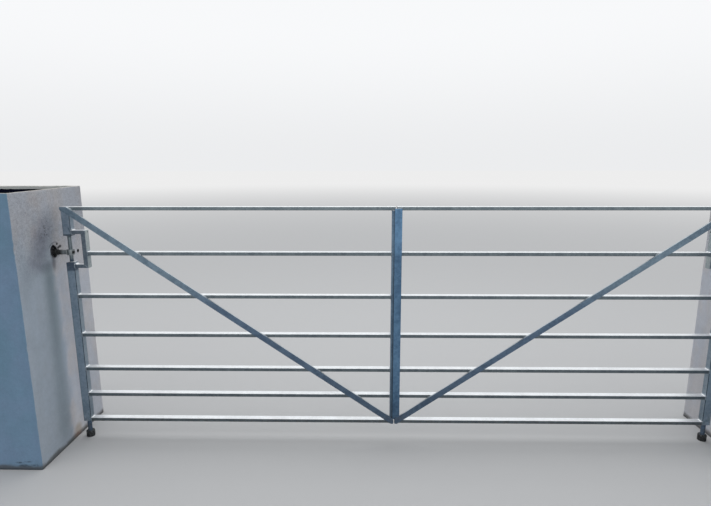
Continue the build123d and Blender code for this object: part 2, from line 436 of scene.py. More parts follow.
def render_coat():
    """Sand and cement render in cloudy greys; painted shade cools and darkens the face towards the viewer.
    """
    s = Surface("render_coat")
    clouds = s.noise(3.2, 6.0, 0.55)
    patches = s.noise(16.0, 4.0, 0.6)
    streaks = s.noise(9.0, 4.0, 0.6, stretch=(1.0, 1.0, 0.09))
    drift = s.noise(7.0, 4.0, 0.55, stretch=(1.0, 1.0, 0.6))
    towards = s.ramp(s.y, RENDER.front + 0.0065, RENDER.front + 0.0025)
    on_reveal = s.ramp(s.out, RENDER.near + 0.007, RENDER.near + 0.003)
    pale = s.colour(s.ramp(drift, 0.38, 0.62), PALE_GREY, PALE_WARM)
    blue_edge = s.total(s.y, s.times(s.less(drift, 0.5), 0.16))
    blue_level = s.total(s.z, s.times(drift, 0.2))
    blue = s.times(s.ramp(blue_edge, HINGE_Y - 0.02, HINGE_Y - 0.07), s.ramp(blue_level, 1.45, 1.1))
    pale = s.colour(s.times(blue, 0.85), pale, PALE_BLUE)
    # painted shade: the face towards the viewer is bluer and darker
    front_shade = s.colour(s.ramp(clouds, 0.35, 0.65), FRONT_SHADE_GREEN, FRONT_SHADE_VIOLET)
    colour = s.colour(towards, pale, front_shade)
    colour = s.tinted(colour, s.grey(coat_mottle(s, clouds, patches, streaks, towards)))
    colour = reveal_stains_and_shade(s, colour, on_reveal, streaks, patches)
    colour = foot_stains(s, colour, on_reveal, towards)
    colour = rim_light_and_moss(s, colour)
    sand = s.noise(900.0, 2.0, 0.6)
    colour = s.tinted(colour, s.grey(s.ramp(sand, 0.35, 0.65, 0.95, 1.05)))
    height = s.total(s.times(sand, 0.5), s.times(s.noise(120.0, 4.0, 0.6), 0.9))
    s.shader.inputs["Specular IOR Level"].default_value = 0.25
    return s.finish(colour, s.ramp(patches, 0.3, 0.7, 0.85, 0.95), s.bump(height, 0.0005))


def coat_mottle(s, clouds, patches, streaks, towards):
    """How light the render is, as a share of its colour; painted light low on the sides and by the gate."""
    mottle = s.total(0.70, s.times(patches, 0.24), s.times(streaks, 0.20), s.times(clouds, 0.16))
    aside = s.less(1.0, towards)
    coarse = s.ramp(s.noise(62.0, 4.0, 0.75), 0.3, 0.7, -1.0, 1.0)
    grains = s.total(coarse, s.ramp(s.noise(170.0, 2.0, 0.6), 0.35, 0.65, -0.8, 0.8))
    rough = s.total(0.03, s.times(s.ramp(s.z, 0.95, 1.2), aside, 0.09))
    # painted light: the sides lighter low down, and lighter still in a strip beside the gate
    painted_light_low = s.times(s.ramp(s.z, 1.28, 1.0), aside)
    slipping = s.total(s.y, s.times(s.less(s.z, 0.95), 0.06))
    painted_light_by_gate = s.times(s.near_line(slipping, HINGE_Y - 0.045, 0.10), s.ramp(s.z, 1.12, 0.96))
    above_hinge = s.spot(s.y, HINGE_Y + 0.07, 0.15, HINGE_Z + 0.16, 0.12, 0.2)
    for place, gain in ((grains, rough), (painted_light_low, 0.34), (painted_light_by_gate, 0.28), (above_hinge, 0.16)):
        mottle = s.times(mottle, s.total(1.0, s.times(place, gain)))
    return mottle


def reveal_stains_and_shade(s, colour, on_reveal, streaks, patches):
    """Marks on the faces towards the gateway, placed round the hinge, and painted shade in the holes."""
    def marked(colour, tint, *amounts):
        return s.colour(s.times(on_reveal, *amounts), colour, tint)

    y, z = HINGE_Y, HINGE_Z
    fine = s.noise(70.0, 5.0, 0.7)
    uneven = s.ramp(s.total(patches, s.times(fine, 0.3)), 0.35, 0.85, 0.35, 1.0)
    leaning = s.total(s.y, s.times(s.less(z + 0.083, s.z), 0.3))
    colour = marked(colour, SMUDGE, s.spot(leaning, y - 0.135, 0.118, z + 0.083, 0.20, 0.1), uneven, 0.66)
    scuffs = s.times(s.spot(s.y, y - 0.085, 0.080, z + 0.135, 0.090), s.ramp(fine, 0.52, 0.62))
    colour = marked(colour, SCUFF, scuffs, 0.8)
    damp = s.times(s.spot(s.y, y - 0.180, 0.125, z - 0.025, 0.105), s.ramp(patches, 0.3, 0.7, 0.6, 1.0))
    colour = marked(colour, DAMP_PATCH, damp, 0.50)
    wet = s.times(s.spot(s.y, y - 0.108, 0.078, z - 0.062, 0.055), s.ramp(patches, 0.3, 0.7, 0.7, 1.0))
    colour = marked(colour, WET_PATCH, wet, 0.72)
    colour = marked(colour, GREY_PATCH, s.spot(s.y, y - 0.285, 0.085, z - 0.09, 0.20), 0.25)
    slant = s.total(s.y, s.times(s.less(z, s.z), 0.035))
    streak = s.times(s.near_line(slant, y - 0.092, 0.085), s.ramp(streaks, 0.25, 0.6, 0.6, 1.0))
    fading = s.times(s.ramp(s.z, 1.10, 0.98), s.ramp(s.z, 0.0, 0.15), s.ramp(s.z, 0.2, 1.0, 0.62, 1.0))
    colour = marked(colour, STREAK, streak, fading, 0.68)
    colour = marked(colour, DRIP, s.spot(s.y, y - 0.048, 0.024, z - 0.050, 0.062, 0.2), 0.62)
    dirt = s.times(s.spot(s.y, y - 0.036, 0.042, z + 0.006, 0.045, 0.5), s.ramp(fine, 0.3, 0.6, 0.5, 0.95))
    colour = marked(colour, SOOT_AND_HOLE_SHADE, dirt)
    ring = s.near_line(s.away(s.y, y - 0.028, 0.060, z - 0.004, 0.064), 1.0, 0.09)
    upper = s.times(s.ramp(s.z, z + 0.025, z + 0.04), s.ramp(s.y, y + 0.01, y - 0.005))
    colour = marked(colour, CRACK, ring, upper, 0.55)
    for across, up, size in ((-0.005, 0.047, 0.013), (0.021, 0.030, 0.017), (0.005, 0.026, 0.013)):
        colour = marked(colour, SOOT_AND_HOLE_SHADE, s.spot(s.y, y + across, size, z + up, size * 0.7, 0.4), 0.9)
    return shade_in_holes(s, colour)


def shade_in_holes(s, colour):
    """Painted shade on the sides of the broken hole and the drilled one, from just behind the face."""
    shallow = s.ramp(s.out, CORE.near + 0.05, CORE.near + 0.01)
    broken = s.times(s.ramp(s.out, RENDER.near + 0.0012, RENDER.near + 0.0035),
                     s.spot(s.y, HINGE_Y - 0.024, 0.11, HINGE_Z, 0.09, 0.8), shallow)
    # painted shade on the sides of the broken hole
    colour = s.colour(broken, colour, SOOT_AND_HOLE_SHADE)
    round_hole = 2 * DRILL_RADIUS
    drilled = s.spot(s.y, HINGE_Y + DRILL_ACROSS, round_hole, HINGE_Z - DRILL_DROP, round_hole, 0.9)
    drilled = s.times(drilled, s.ramp(s.out, RENDER.near, RENDER.near + 0.0015), shallow)
    return s.colour(drilled, colour, SOOT_AND_HOLE_SHADE)


def foot_stains(s, colour, on_reveal, towards):
    """Earth round the foot of the render, and splashes by the gate and on the front."""
    ragged = s.total(0.004, s.times(s.noise(14.0, 5.0, 0.7), 0.045))
    line = s.ramp(s.less(s.z, ragged), 0.012, -0.012)
    colour = s.colour(s.times(line, 0.75), colour, EARTH)
    grit = s.ramp(s.noise(90.0, 4.0, 0.7), 0.3, 0.6)
    mud = s.times(on_reveal, s.spot(s.y, HINGE_Y, 0.055, 0.045, 0.05, 0.2), 0.75)
    colour = s.colour(mud, colour, DRIED_MUD)
    clay = s.times(on_reveal, s.spot(s.y, HINGE_Y - 0.01, 0.05, 0.012, 0.028, 0.3), grit, 0.85)
    colour = s.colour(clay, colour, CLAY)
    for out, up, wide, tall in ((0.120, 0.042, 0.030, 0.008), (0.075, 0.047, 0.030, 0.006),
                                (0.092, 0.024, 0.050, 0.012), (0.035, 0.028, 0.024, 0.010)):
        mark = s.times(towards, s.spot(s.out, RENDER.near + out, wide, up, tall, 0.2), grit, 0.9)
        colour = s.colour(mark, colour, FRONT_MARK)
    return colour


def rim_light_and_moss(s, colour):
    """Painted highlight on the top of the rim, painted light on its pale inner side, and moss along it."""
    rim = s.total(RENDER.top - RIM_FALL / 2, s.times(s.y, RIM_FALL / (RENDER.back - RENDER.front)))
    below_rim = s.less(rim, s.z)
    upward = s.times(s.ramp(below_rim, 0.006, 0.003), s.ramp(s.split(s.facing)[2], 0.3, 0.7))
    # painted highlight on the top of the rim
    colour = s.colour(s.times(upward, 0.8), colour, RIM_TOP_HIGHLIGHT)
    inside = s.times(s.ramp(s.out, CORE.near - 0.004, CORE.near - 0.001),
                     s.ramp(s.out, CORE.far + 0.004, CORE.far + 0.001),
                     s.ramp(s.maths("ABSOLUTE", s.y), CORE.back + 0.0015, CORE.back - 0.0005))
    # painted light on the inner side of the rim
    colour = s.colour(s.times(inside, 0.9), colour, RIM_INSIDE_LIGHT)
    moss = s.ramp(s.noise(38.0, 5.0, 0.7), 0.48, 0.64)
    return s.colour(s.times(moss, s.ramp(below_rim, 0.014, 0.002), 0.25), colour, MOSS)


def block():
    """Coarse blockwork in near-black, painted shade of the pier's open top and of the hole round the shank.
    """
    s = Surface("shaded_blockwork")
    lumps = s.noise(55.0, 6.0, 0.7)
    colour = s.colour(s.ramp(lumps, 0.35, 0.7), BLOCK_SHADED_DARK, BLOCK_SHADED_LIGHT)
    moss = s.ramp(s.noise(13.0, 5.0, 0.7), 0.5, 0.68)
    colour = s.colour(s.times(moss, 0.4), colour, BLOCK_MOSS)
    broken_face = s.ramp(s.out, CORE.near + 0.012, CORE.near + 0.004)
    colour = s.colour(s.times(broken_face, s.ramp(lumps, 0.3, 0.6, 0.6, 1.0)), colour, BLOCK_BROKEN)
    height = s.total(lumps, s.times(s.noise(300.0, 3.0), 0.4))
    s.shader.inputs["Specular IOR Level"].default_value = 0.0
    return s.finish(colour, 1.0, s.bump(height, 0.002))


def grimy_shaded_steel():
    """Hinge hardware: dull zinc, grimy low down, with grime and painted shade near the pier and on the eye.
    """
    s = Surface("grimy_shaded_steel")
    clouds = s.noise(24.0, 5.0, 0.65)
    colour = s.colour(s.ramp(clouds, 0.35, 0.65), DULL_STEEL, BRIGHT_STEEL)
    # grime low down, and painted shade near the pier
    grime_and_shade = s.total(s.ramp(s.z, 0.10, 0.02), s.ramp(s.out, RENDER.near - 0.037, RENDER.near - 0.012))
    grime_and_shade = s.times(grime_and_shade, s.ramp(s.noise(90.0, 4.0, 0.7), 0.2, 0.5))
    # grime and painted shade on the eye's far side
    eye_side = s.ramp(s.out, EYE.near + 0.0065, EYE.near + 0.0035)
    eye_side = s.times(eye_side, s.near_line(s.z, HINGE_Z, 0.012), 1.6)
    grime_and_shade = s.maths("ADD", grime_and_shade, eye_side, clamp=True)
    colour = s.colour(s.times(grime_and_shade, 0.9), colour, GRIME_AND_SHADE)
    gloss = s.total(s.ramp(clouds, 0.3, 0.7, 0.5, 0.38), s.times(grime_and_shade, 0.4))
    return s.finish(colour, gloss, s.bump(s.noise(220.0, 3.0, 0.6), 0.0001), 0.8)


# side, low_shade, shade_below_head, edges and crevice paint light and shade on each finish
MATERIALS = {
    "section": zinc("zinc_section", (0.25, 0.33, 0.41), (0.40, 0.49, 0.58),
                    side=(0.70, 0.70, 0.70), low_shade=0.95, edges=1.0),
    "notch": zinc("zinc_notch", (0.12, 0.155, 0.195), (0.21, 0.255, 0.295), side=(2.35, 2.15, 1.85)),
    "rail": zinc("zinc_rail", (0.155, 0.193, 0.218), (0.247, 0.296, 0.318),
                 low_shade=0.68, head=(1.15, 1.20), shade_below_head=(0.87, 0.87, 0.88)),
    "meeting": zinc("zinc_meeting", (0.115, 0.18, 0.26), (0.20, 0.30, 0.405),
                    roughness=0.36, low_shade=0.72, crevice=0.6),
    "bar": zinc("zinc_bar", (0.155, 0.22, 0.285), (0.255, 0.35, 0.43),
                top_highlight=(0.50, 0.55, 0.58), roughness=0.38, spangle=70.0,
                low_shade=0.74, low_reach=0.8, head=(0.75, 1.0), shade_below_head=(0.59, 0.64, 0.75)),
    "stop": zinc("zinc_stop_bar", (0.094, 0.192, 0.33), (0.182, 0.348, 0.55),
                 top_highlight=(0.55, 0.60, 0.65), roughness=0.38, spangle=70.0,
                 low_shade=0.68, low_reach=0.5, shade_below_head=(0.77, 0.77, 0.77)),
    "weld": zinc("zinc_weld", (0.17, 0.21, 0.25), (0.30, 0.35, 0.40),
                 top_highlight=(0.92, 0.94, 0.95), spangle=300.0, stains_and_shade=0.0),
    "render": render_coat(),
    "block": block(),
    "hinge": grimy_shaded_steel(),
}
SLOT_MATERIALS = {
    "galvanised_steel": "section",
    "hinge_steel": "hinge",
    "render": "render",
    "blockwork": "block",
}
NODE_FINISHES = {
    "_rail_": "rail",
    "_notch_": "notch",
    "_meeting_": "meeting",
    "_hinge_bar": "rail",
    "_foot_pin": "bar",
}


def dress_nodes():
    """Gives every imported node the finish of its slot, or its own."""
    for part in frame["record"]["subparts"]:
        finish = next((name for key, name in NODE_FINISHES.items() if key in part["node"]), None)
        material = MATERIALS[finish or SLOT_MATERIALS[part["material_slot"]]]
        for slot in frame["nodes"][part["node"]].material_slots:
            slot.material = material


# Light and stage

def surround():
    """Soft even light from all round, which is also the plain backdrop."""
    world = bpy.data.worlds.new("surround")
    bpy.context.scene.world = world
    world.use_nodes = True
    world.node_tree.nodes.clear()
    graph = Graph(world.node_tree)
    y, z = graph.split(graph.node("ShaderNodeTexCoord").outputs["Generated"])[1:]
    around = graph.ramp(y, -0.5, 0.5, FRONT_LEVEL, BEHIND_LEVEL)
    high = graph.ramp(z, 0.3, 0.9)
    level = graph.total(graph.times(around, graph.less(1.0, high)), graph.times(high, OVERHEAD_LEVEL))
    level = graph.times(level, graph.ramp(z, 0.0, 0.25, HORIZON_LEVEL / BEHIND_LEVEL, 1.0))
    light = graph.node("ShaderNodeBackground")
    light.inputs["Color"].default_value = LIGHT_COLOUR
    graph.feed(light.inputs["Strength"], level)
    graph.feed(graph.node("ShaderNodeOutputWorld").inputs["Surface"], light.outputs[0])


def floor():
    """Plain floor that fades into the backdrop far away."""
    mesh = bpy.data.meshes.new("floor")
    corners = [(x * FLOOR_HALF, y * FLOOR_HALF, 0.0) for x, y in ((-1, -1), (1, -1), (1, 1), (-1, 1))]
    mesh.from_pydata(corners, [], [(0, 1, 2, 3)])
    ground = bpy.data.objects.new("floor", mesh)
    ground.location.z = -FLOOR_DROP
    bpy.context.scene.collection.objects.link(ground)
    s = Surface("plain_floor")
    path = s.node("ShaderNodeLightPath").outputs
    seen = s.maths("MAXIMUM", path["Is Camera Ray"], path["Is Glossy Ray"])
    seen = s.maths("MAXIMUM", seen, path["Is Transmission Ray"])
    s.feed(s.shader.inputs["Base Color"], s.colour(seen, FLOOR_BOUNCE, FLOOR_COLOUR))
    s.shader.inputs["Roughness"].default_value = 0.9
    s.shader.inputs["Specular IOR Level"].default_value = 0.1
    distance = s.node("ShaderNodeVectorMath", operation="LENGTH")
    s.feed(distance.inputs[0], s.place)
    glow = s.node("ShaderNodeEmission")
    glow.inputs["Strength"].default_value = HORIZON_LEVEL
    mix = s.node("ShaderNodeMixShader")
    s.feed(mix.inputs[0], s.times(s.ramp(distance.outputs["Value"], *FLOOR_FADE), seen))
    s.feed(mix.inputs[1], s.shader.outputs[0])
    s.feed(mix.inputs[2], glow.outputs[0])
    s.feed(s.tree.nodes["Material Output"].inputs["Surface"], mix.outputs[0])
    mesh.materials.append(s.material)


def lamp():
    """Large soft lamp above and a little behind the gates, for gentle shadows on the floor."""
    data = bpy.data.lights.new("overhead", "AREA")
    data.shape = "RECTANGLE"
    data.size, data.size_y = LAMP_SIZE
    data.energy = LAMP_POWER
    light = bpy.data.objects.new("overhead", data)
    light.location = LAMP_PLACE
    light.rotation_euler = (math.radians(LAMP_LEAN), 0, 0)
    light.visible_camera = False
    bpy.context.scene.collection.objects.link(light)


# Building pieces

def as_object(name, bm, hand):
    """Turns a closed mesh drawn for the right side into an object of the given hand."""
    for vert in bm.verts:
        vert.co.x *= hand
    bmesh.ops.recalc_face_normals(bm, faces=bm.faces)
    mesh = bpy.data.meshes.new(name)
    bm.to_mesh(mesh)
    bm.free()
    made = bpy.data.objects.new(name, mesh)
    bpy.context.scene.collection.objects.link(made)
    return made


def piece(name, bm, hand, body, finish):
    """A smooth piece that rides on a body."""
    made = as_object(name, bm, hand)
    made.data.shade_smooth()
    made.data.materials.append(MATERIALS[finish])
    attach(made, body)
    return made


def strip(bm, first, second):
    """Faces between one ring of points and the next."""
    for k in range(len(first)):
        nxt = (k + 1) % len(first)
        bm.faces.new((first[k], first[nxt], second[nxt], second[k]))


def skin(bm, rings, closed=False):
    """Closed shape through rings of points, with a face at each end unless the rings come full circle."""
    for first, second in zip(rings, rings[1:]):
        strip(bm, first, second)
    if closed:
        strip(bm, rings[-1], rings[0])
    else:
        bm.faces.new(rings[0])
        bm.faces.new(rings[-1])


def wobble(x, y=0.0, z=0.0):
    """Smooth noise from -1 to 1."""
    return noise.noise(Vector((x, y, z)))


def circle(count):
    """Angles evenly round a circle."""
    return [2 * math.pi * k / count for k in range(count)]


# Welds

def evenly(points, closed):
    """Points every BEAD_STEP along straight runs between the given points."""
    ends = points[1:] + points[:1] if closed else points[1:]
    path = []
    for start, end in zip(points, ends):
        count = max(1, round((end - start).length / BEAD_STEP))
        path += [start.lerp(end, i / count) for i in range(count)]
    return path if closed else path + [points[-1]]


def bead(bm, points, across, radius=BEAD_RADIUS, closed=False, seed=0.0):
    """Rippled weld bead along a path, tapered at its ends; across is square to the path all along it."""
    path = evenly(points, closed)
    count = len(path)
    across = across.normalized()
    rings = []
    for i, point in enumerate(path):
        before = path[i - 1] if closed or i else point
        after = path[(i + 1) % count] if closed or i < count - 1 else point
        out = (after - before).normalized().cross(across)
        travelled = i * BEAD_STEP
        ripple = math.sin(2 * math.pi * travelled / RIPPLE_PITCH + 2 * wobble(travelled * 150, seed))
        swell = wobble(travelled * 90, seed + 7)
        size = radius * (1 + RIPPLE_DEPTH * ripple + BEAD_UNEVEN * swell)
        if not closed:
            size *= min(1.0, 0.35 + min(i, count - 1 - i) * 0.25)
        middle = point + across * (BEAD_SWAY * wobble(travelled * 60, seed + 3))
        rings.append([bm.verts.new(middle + (across * math.cos(a) + out * math.sin(a)) * size)
                      for a in circle(BEAD_SIDES)])
    skin(bm, rings, closed)


def rounded_loop(a_low, a_high, b_low, b_high):
    """Pairs round a box section's outline, just outside its rounded corners."""
    radius = SECTION_CORNER + 0.0003
    a_low, a_high = a_low + SECTION_CORNER, a_high - SECTION_CORNER
    b_low, b_high = b_low + SECTION_CORNER, b_high - SECTION_CORNER
    pairs = []
    for a, b, start in ((a_high, b_high, 0), (a_low, b_high, 90), (a_low, b_low, 180), (a_high, b_low, 270)):
        for turn in (0, 30, 60, 90):
            angle = math.radians(start + turn)
            pairs.append((a + radius * math.cos(angle), b + radius * math.sin(angle)))
    return pairs


def bead_round_rail(bm, x, rail, seed):
    """Bead where a level section butts against an upright face at x."""
    loop = rounded_loop(rail.front, rail.back, rail.foot, rail.top)
    bead(bm, [Vector((x, y, z)) for y, z in loop], Vector((1, 0, 0)), closed=True, seed=seed)


def bead_round_post(bm, z, post, seed):
    """Bead where an upright section butts against a level face at z."""
    loop = rounded_loop(post.near, post.far, post.front, post.back)
    bead(bm, [Vector((x, y, z)) for x, y in loop], Vector((0, 0, 1)), closed=True, seed=seed)


def bead_round_bar(bm, centre, axis, radius, seed):
    """Bead round a bar where it meets a flat face."""
    first = axis.orthogonal().normalized()
    second = axis.cross(first)
    path_radius = radius + 0.0006
    ring = [centre + (first * math.cos(a) + second * math.sin(a)) * path_radius for a in circle(24)]
    bead(bm, ring, axis, closed=True, seed=seed)


def corner_fill(bm, out, level, across, up, size, seed):
    """Hollow fillet of weld and zinc in a corner of the frame, running from its front to its back."""
    end_gap = 0.002
    rings = []
    for i in range(FILL_STEPS + 1):
        y = STILE.front + end_gap + (STILE.back - STILE.front - 2 * end_gap) * i / FILL_STEPS
        leg = size * (1 + 0.18 * wobble(i * 0.9, seed)) * min(1.0, 0.55 + min(i, FILL_STEPS - i) * 0.3)
        hollow = [math.radians(turn) for turn in (15, 30, 45, 60, 75)]
        outline = [(-FILL_SUNK, -FILL_SUNK), (leg, -FILL_SUNK)]
        outline += [(leg * (1 - math.sin(a)), leg * (1 - math.cos(a))) for a in hollow]
        outline += [(-FILL_SUNK, leg)]
        rings.append([bm.verts.new((out + across * a, y, level + up * b)) for a, b in outline])
    skin(bm, rings)


def frame_welds(side, hand):
    """Beads at every joint of a leaf's frame."""
    bm = bmesh.new()
    seed = 20.0 * (hand + 2)
    for i, rail in enumerate(RAILS[1:]):
        bead_round_rail(bm, MEETING_STILE.far + BEAD_PROUD, rail, seed + i)
        bead_round_rail(bm, (POST.near if i == 0 else STILE.near) - BEAD_PROUD, rail, seed + 10 + i)
    bead_round_post(bm, RAILS[0].foot - BEAD_PROUD, UPPER_STILE, seed + 31)
    bead_round_post(bm, RAILS[0].foot - BEAD_PROUD, MEETING_STILE, seed + 32)
    bead_round_rail(bm, STILE.near - BEAD_PROUD, UPPER_ARM, seed + 34)
    bead_round_rail(bm, STILE.near - BEAD_PROUD, LOWER_ARM, seed + 35)
    mitre_beads(bm, seed + 60)
    axis = Vector(((STILE.near + STILE.far) / 2, (STILE.front + STILE.back) / 2, 0))
    up = Vector((0, 0, 1))
    levels = ((UPPER_STILE.foot - BEAD_PROUD, HINGE_BAR_RADIUS), (STILE.top + BEAD_PROUD, HINGE_BAR_RADIUS),
              (STILE.foot - BEAD_PROUD, FOOT_PIN_RADIUS))
    for k, (level, radius) in enumerate(levels):
        bead_round_bar(bm, axis + up * level, up, radius, seed + 40 + k)
    fills = [(STILE.near, UPPER_ARM.top, -1, 1, 0.013), (STILE.near, LOWER_ARM.top, -1, 1, 0.017),
             (STILE.near, UPPER_ARM.foot, -1, -1, 0.006), (POST.far, UPPER_ARM.foot, 1, -1, 0.010),
             (POST.far, LOWER_ARM.top, 1, 1, 0.006), (POST.near, RAILS[1].top, -1, 1, 0.010),
             (POST.near, RAILS[1].foot, -1, -1, 0.006)]
    fills += [(STILE.near, rail.top, -1, 1, 0.010) for rail in RAILS[2:]]
    for k, (out, level, across, rise, size) in enumerate(fills):
        corner_fill(bm, out, level, across, rise, size, seed + 70 + k)
    piece(f"{side}_frame_welds", bm, hand, f"{side}_leaf", "weld")


def mitre_beads(bm, seed):
    """Flat beads over the front and back of the two mitred corners of the notch."""
    corners = ((Vector((POST.near, 0, UPPER_ARM.top)), Vector((POST.far, 0, UPPER_ARM.foot))),
               (Vector((POST.near, 0, LOWER_ARM.foot)), Vector((POST.far, 0, LOWER_ARM.top))))
    for k, (outer, inner) in enumerate(corners):
        for y in (POST.front + MITRE_BEAD_SUNK, POST.back - MITRE_BEAD_SUNK):
            ends = [outer.lerp(inner, share) + Vector((0, y, 0)) for share in (0.06, 1.0)]
            bead(bm, ends, Vector((0, 1, 0)), MITRE_BEAD_RADIUS, seed=seed + k)


def brace_welds(side, hand):
    """Short beads along both edges of a brace where it crosses the rails."""
    bm = bmesh.new()
    slope = (BRACE.top - BRACE.foot + BRACE_HEAD_RISE - BRACE_FOOT_RISE) / (BRACE.far - BRACE.near)
    rise = BRACE_WIDTH / 2 * math.hypot(1, slope)
    end_gap = 0.002
    shortest = 0.012
    seed = 90.0 + 20 * hand
    for i, rail in enumerate(RAILS):
        for k, edge in enumerate((rise, -rise)):
            ends = []
            for level in (rail.top - end_gap, rail.foot + end_gap):
                out = BRACE.far - (BRACE.top + BRACE_HEAD_RISE + edge - level) / slope
                out = min(max(out, BRACE.near), BRACE.far - 0.001)
                ends.append(Vector((out, rail.front - BEAD_PROUD, level)))
            if (ends[0] - ends[1]).length > shortest:
                bead(bm, ends, Vector((0, 1, 0)), BRACE_BEAD_RADIUS, seed=seed + 3 * i + k)
    piece(f"{side}_brace_welds", bm, hand, f"{side}_leaf", "weld")


def softened(node, body, finish):
    """A flat bar again, with its sharp edges rounded."""
    bm = bmesh.new()
    bm.from_mesh(frame["nodes"][node].data)
    bmesh.ops.remove_doubles(bm, verts=bm.verts, dist=1e-6)
    bmesh.ops.dissolve_limit(bm, angle_limit=math.radians(1), verts=bm.verts, edges=bm.edges)
    sharp = [edge for edge in bm.edges if edge.calc_face_angle(0) > math.radians(25)]
    bmesh.ops.bevel(bm, geom=sharp, offset=BAR_ARRIS, segments=2, profile=0.5, affect="EDGES")
    made = piece(f"{node}_bar", bm, 1, body, finish)
    made.modifiers.new("even shading", "WEIGHTED_NORMAL")
    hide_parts(node)


# Piers

Station = namedtuple("Station", "quarter turn angle along")


def stations(half):
    """Places round a square pier, along its sides and, where they have an angle, round its corners."""
    made = []
    straight = half - CORNER
    for quarter in range(4):
        turn = Matrix.Rotation(quarter * math.pi / 2, 2)
        for i in range(COAT_SIDE_STEPS):
            made.append(Station(quarter, turn, None, straight * (2 * i / COAT_SIDE_STEPS - 1)))
        for angle in range(0, 90, 18):
            made.append(Station(quarter, turn, math.radians(angle), straight))
    return made


def outward(station):
    """Level direction out of the pier at a station."""
    if station.angle is None:
        return station.turn @ Vector((1, 0))
    return station.turn @ Vector((math.cos(station.angle), math.sin(station.angle)))


def station_point(station, half, inset):
    """Plan position of a station pushed in by an inset."""
    straight = half - CORNER
    deep = max(inset - CORNER, 0.0)
    if station.angle is None:
        return station.turn @ Vector((half - inset, station.along * (straight - deep) / straight))
    centre = Vector((straight - deep, straight - deep))
    towards = Vector((math.cos(station.angle), math.sin(station.angle)))
    return station.turn @ (centre + towards * max(CORNER - inset, 0.0))


def coat_section():
    """Inset and level of each row of the render: up the outside, over the rim and down the inside."""
    top = RENDER.top
    section = [(0.0, (top - RIM_ROUND) * i / COAT_ROWS) for i in range(COAT_ROWS + 1)]
    for turn in (30, 60, 90):
        angle = math.radians(turn)
        section.append((RIM_ROUND * (1 - math.cos(angle)), top - RIM_ROUND * (1 - math.sin(angle))))
    section += [(COAT_INSET * 0.5, top), (COAT_INSET - 0.004, top), (COAT_INSET - 0.0012, top - 0.0012)]
    section += [(COAT_INSET, top - depth) for depth in (0.004, 0.009, 0.016, 0.024)]
    section += [(COAT_INSET, 0.0)]
    return section


def chips(rng):
    """A few places where an arris has been knocked: level, depth and half-height."""
    return [(rng.uniform(0.15, RENDER.top - 0.05), rng.uniform(0.0015, 0.004), rng.uniform(0.006, 0.018))
            for _ in range(7)]


def sunk(station, where, level, hand, knocks):
    """How far the floated surface lies behind the true face; a corner is also worn and knocked."""
    depth = FLOAT_WAVES * (1 + wobble(*(where * 3.1))) + FLOAT_MARKS * (1 + wobble(*(where * 17)))
    if station.angle is not None:
        depth += ARRIS_WEAR * max(0.0, wobble(station.quarter * 9.7, hand, level * 22) + 0.3)
        depth += sum(deep * math.exp(-((level - up) / half) ** 2) for up, deep, half in knocks)
    return depth


def dropped(where, inset):
    """How far the uneven rim lies below its line, more so on the inside."""
    drop = RIM_UNEVEN * (1 + wobble(*(where * 14))) + RIM_UNEVEN * (1 + wobble(*(where * 60)))
    return drop * (1.0 + 1.6 * min(inset / COAT_INSET, 1.0))


def pier_coat(side, hand):
    """Render with a floated surface, worn arrises, an uneven rim and the hole round the hinge shank."""
    half = (RENDER.far - RENDER.near) / 2
    centre = Vector(((RENDER.far + RENDER.near) / 2, (RENDER.front + RENDER.back) / 2))
    rng = random.Random(11 + hand)
    knocks = [chips(rng) for _ in range(4)]
    section = coat_section()
    bm = bmesh.new()
    grid = []
    for station in stations(half):
        out = outward(station)
        row = []
        for inset, true_level in section:
            plan = station_point(station, half, inset)
            level = true_level * (1 - RIM_FALL / RENDER.top * (0.5 - plan.y / (2 * half)))
            where = Vector((plan.x + 3 * hand, plan.y, level))
            sink = sunk(station, where, level, hand, knocks[station.quarter]) if inset < COAT_INSET else 0.0
            drop = dropped(where, inset) if true_level > RENDER.top - 0.006 else 0.0
            spot = centre + plan - out * sink
            row.append(bm.verts.new((spot.x, spot.y, level - drop)))
        grid.append(row)
    skin(bm, grid, closed=True)
    made = piece(f"{side}_pier_coat", bm, hand, "piers", "render")
    cut_out(made, pocket_cutter(hand))
    if side == "left":
        cut_out(made, stray_hole_cutter(hand))
    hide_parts(f"{side}_pier_render")


def cut_out(made, cutter):
    """Takes one closed shape out of a piece."""
    cut = made.modifiers.new("cut", "BOOLEAN")
    cut.operation = "DIFFERENCE"
    cut.solver = "EXACT"
    cut.object = cutter
    graph = bpy.context.evaluated_depsgraph_get()
    mesh = bpy.data.meshes.new_from_object(made.evaluated_get(graph))
    made.modifiers.clear()
    made.data = mesh
    bpy.data.objects.remove(cutter)


def ragged_prism(name, outline, rings, hand, seed):
    """Closed shape across X from an outline in Y and Z, with its own size and roughness on each ring."""
    bm = bmesh.new()
    middle = sum(outline, Vector((0, 0))) / len(outline)
    made = []
    for number, (x, scale, rough) in enumerate(rings):
        ring = []
        for i, point in enumerate(outline):
            shake = 1 + rough * wobble(i * 0.61, number * 0.8, seed)
            spot = middle + (point - middle) * scale * shake
            ring.append(bm.verts.new((x, spot.x, spot.y)))
        made.append(ring)
    skin(bm, made)
    return as_object(name, bm, hand)


def face_points(y, z, reach_round):
    """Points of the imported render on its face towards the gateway, round a place."""
    points = [vert.co for vert in frame["nodes"]["left_pier_render"].data.vertices]
    points = [point for point in points if abs(abs(point.x) - RENDER.near) < ON_FACE]
    return [point for point in points if abs(point.y - y) < reach_round and abs(point.z - z) < reach_round]


